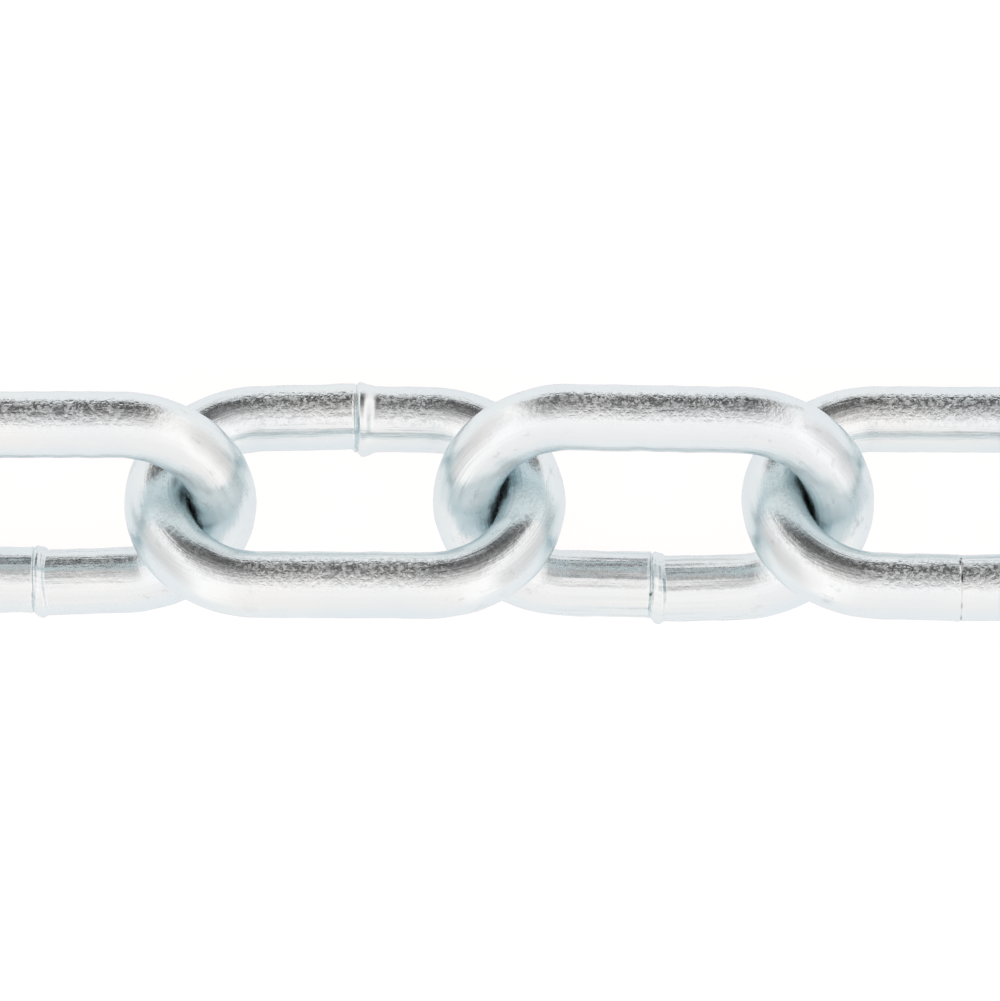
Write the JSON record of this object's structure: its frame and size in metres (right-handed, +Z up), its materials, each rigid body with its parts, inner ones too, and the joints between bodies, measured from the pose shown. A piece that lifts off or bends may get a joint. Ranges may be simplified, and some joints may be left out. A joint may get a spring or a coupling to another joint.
{
  "type": "welded steel link chain",
  "caption": "Short piece of bright zinc-plated steel chain of round-wire welded links, pulled straight and lying on the floor with its links leaning to either side in turn.",
  "frame": {"origin": "middle of the chain's length, on the floor it lies on", "axes": "+X along the chain, +Z up from the floor, +Y across"},
  "size_m": [0.3062, 0.0144, 0.0122],
  "materials": {
    "zinc_plated_steel": "bright blue-passivated zinc plate, satin with fine drawing marks and a slightly pebbled skin"
  },
  "bodies": {
    "link_01": {"link_01": "zinc_plated_steel"},
    "link_02": {"link_02": "zinc_plated_steel"},
    "link_03": {"link_03": "zinc_plated_steel"},
    "link_04": {"link_04": "zinc_plated_steel"},
    "link_05": {"link_05": "zinc_plated_steel"},
    "link_06": {"link_06": "zinc_plated_steel"},
    "link_07": {"link_07": "zinc_plated_steel"},
    "link_08": {"link_08": "zinc_plated_steel"},
    "link_09": {"link_09": "zinc_plated_steel"},
    "link_10": {"link_10": "zinc_plated_steel"},
    "link_11": {"link_11": "zinc_plated_steel"},
    "link_12": {"link_12": "zinc_plated_steel"},
    "link_13": {"link_13": "zinc_plated_steel"},
    "link_14": {"link_14": "zinc_plated_steel"},
    "link_15": {"link_15": "zinc_plated_steel"},
    "link_16": {"link_16": "zinc_plated_steel"}
  },
  "joints": [
    {"name": "link_09_swing", "type": "hinge", "parent": "link_08", "child": "link_09", "pos_m": [0.0022, -0.00006, 0.00568], "axis": [-0.0042, -0.8007, 0.599], "range_deg": [-100, 100]},
    {"name": "link_10_swing", "type": "hinge", "parent": "link_09", "child": "link_10", "pos_m": [0.0208, -0.0002, 0.00565], "axis": [0.014, 0.8048, 0.5934], "range_deg": [-100, 100]},
    {"name": "link_11_swing", "type": "hinge", "parent": "link_10", "child": "link_11", "pos_m": [0.0394, -0.00006, 0.00565], "axis": [0.0042, 0.8049, -0.5934], "range_deg": [-100, 100]},
    {"name": "link_12_swing", "type": "hinge", "parent": "link_11", "child": "link_12", "pos_m": [0.058, 0.00008, 0.00564], "axis": [0.001, -0.8061, -0.5918], "range_deg": [-100, 100]},
    {"name": "link_13_swing", "type": "hinge", "parent": "link_12", "child": "link_13", "pos_m": [0.0766, -0.00004, 0.0057], "axis": [0.0028, -0.7981, 0.6026], "range_deg": [-100, 100]},
    {"name": "link_14_swing", "type": "hinge", "parent": "link_13", "child": "link_14", "pos_m": [0.0952, 0, 0.00575], "axis": [0.0057, 0.7916, 0.611], "range_deg": [-100, 100]},
    {"name": "link_15_swing", "type": "hinge", "parent": "link_14", "child": "link_15", "pos_m": [0.1138, 0.00002, 0.00564], "axis": [-0.007, 0.8061, -0.5917], "range_deg": [-100, 100]},
    {"name": "link_16_swing", "type": "hinge", "parent": "link_15", "child": "link_16", "pos_m": [0.1324, -0.00002, 0.0057], "axis": [-0.006, -0.7979, -0.6028], "range_deg": [-100, 100]},
    {"name": "link_07_swing", "type": "hinge", "parent": "link_08", "child": "link_07", "pos_m": [-0.0208, 0.00006, 0.00568], "axis": [0.0042, 0.8007, -0.599], "range_deg": [-100, 100]},
    {"name": "link_06_swing", "type": "hinge", "parent": "link_07", "child": "link_06", "pos_m": [-0.0394, 0, 0.00607], "axis": [0, 0.749, 0.6626], "range_deg": [-100, 100]},
    {"name": "link_05_swing", "type": "hinge", "parent": "link_06", "child": "link_05", "pos_m": [-0.058, 0.00003, 0.0057], "axis": [-0.0014, -0.7984, 0.6022], "range_deg": [-100, 100]},
    {"name": "link_04_swing", "type": "hinge", "parent": "link_05", "child": "link_04", "pos_m": [-0.0766, 0.00001, 0.00564], "axis": [-0.0024, -0.806, -0.592], "range_deg": [-100, 100]},
    {"name": "link_03_swing", "type": "hinge", "parent": "link_04", "child": "link_03", "pos_m": [-0.0952, -0.00003, 0.00576], "axis": [-0.0054, 0.7914, -0.6113], "range_deg": [-100, 100]},
    {"name": "link_02_swing", "type": "hinge", "parent": "link_03", "child": "link_02", "pos_m": [-0.1138, 0.00004, 0.0057], "axis": [0.0069, 0.7985, 0.602], "range_deg": [-100, 100]},
    {"name": "link_01_swing", "type": "hinge", "parent": "link_02", "child": "link_01", "pos_m": [-0.1324, -0.00002, 0.00564], "axis": [0.0063, -0.8059, 0.5921], "range_deg": [-100, 100]}
  ]
}
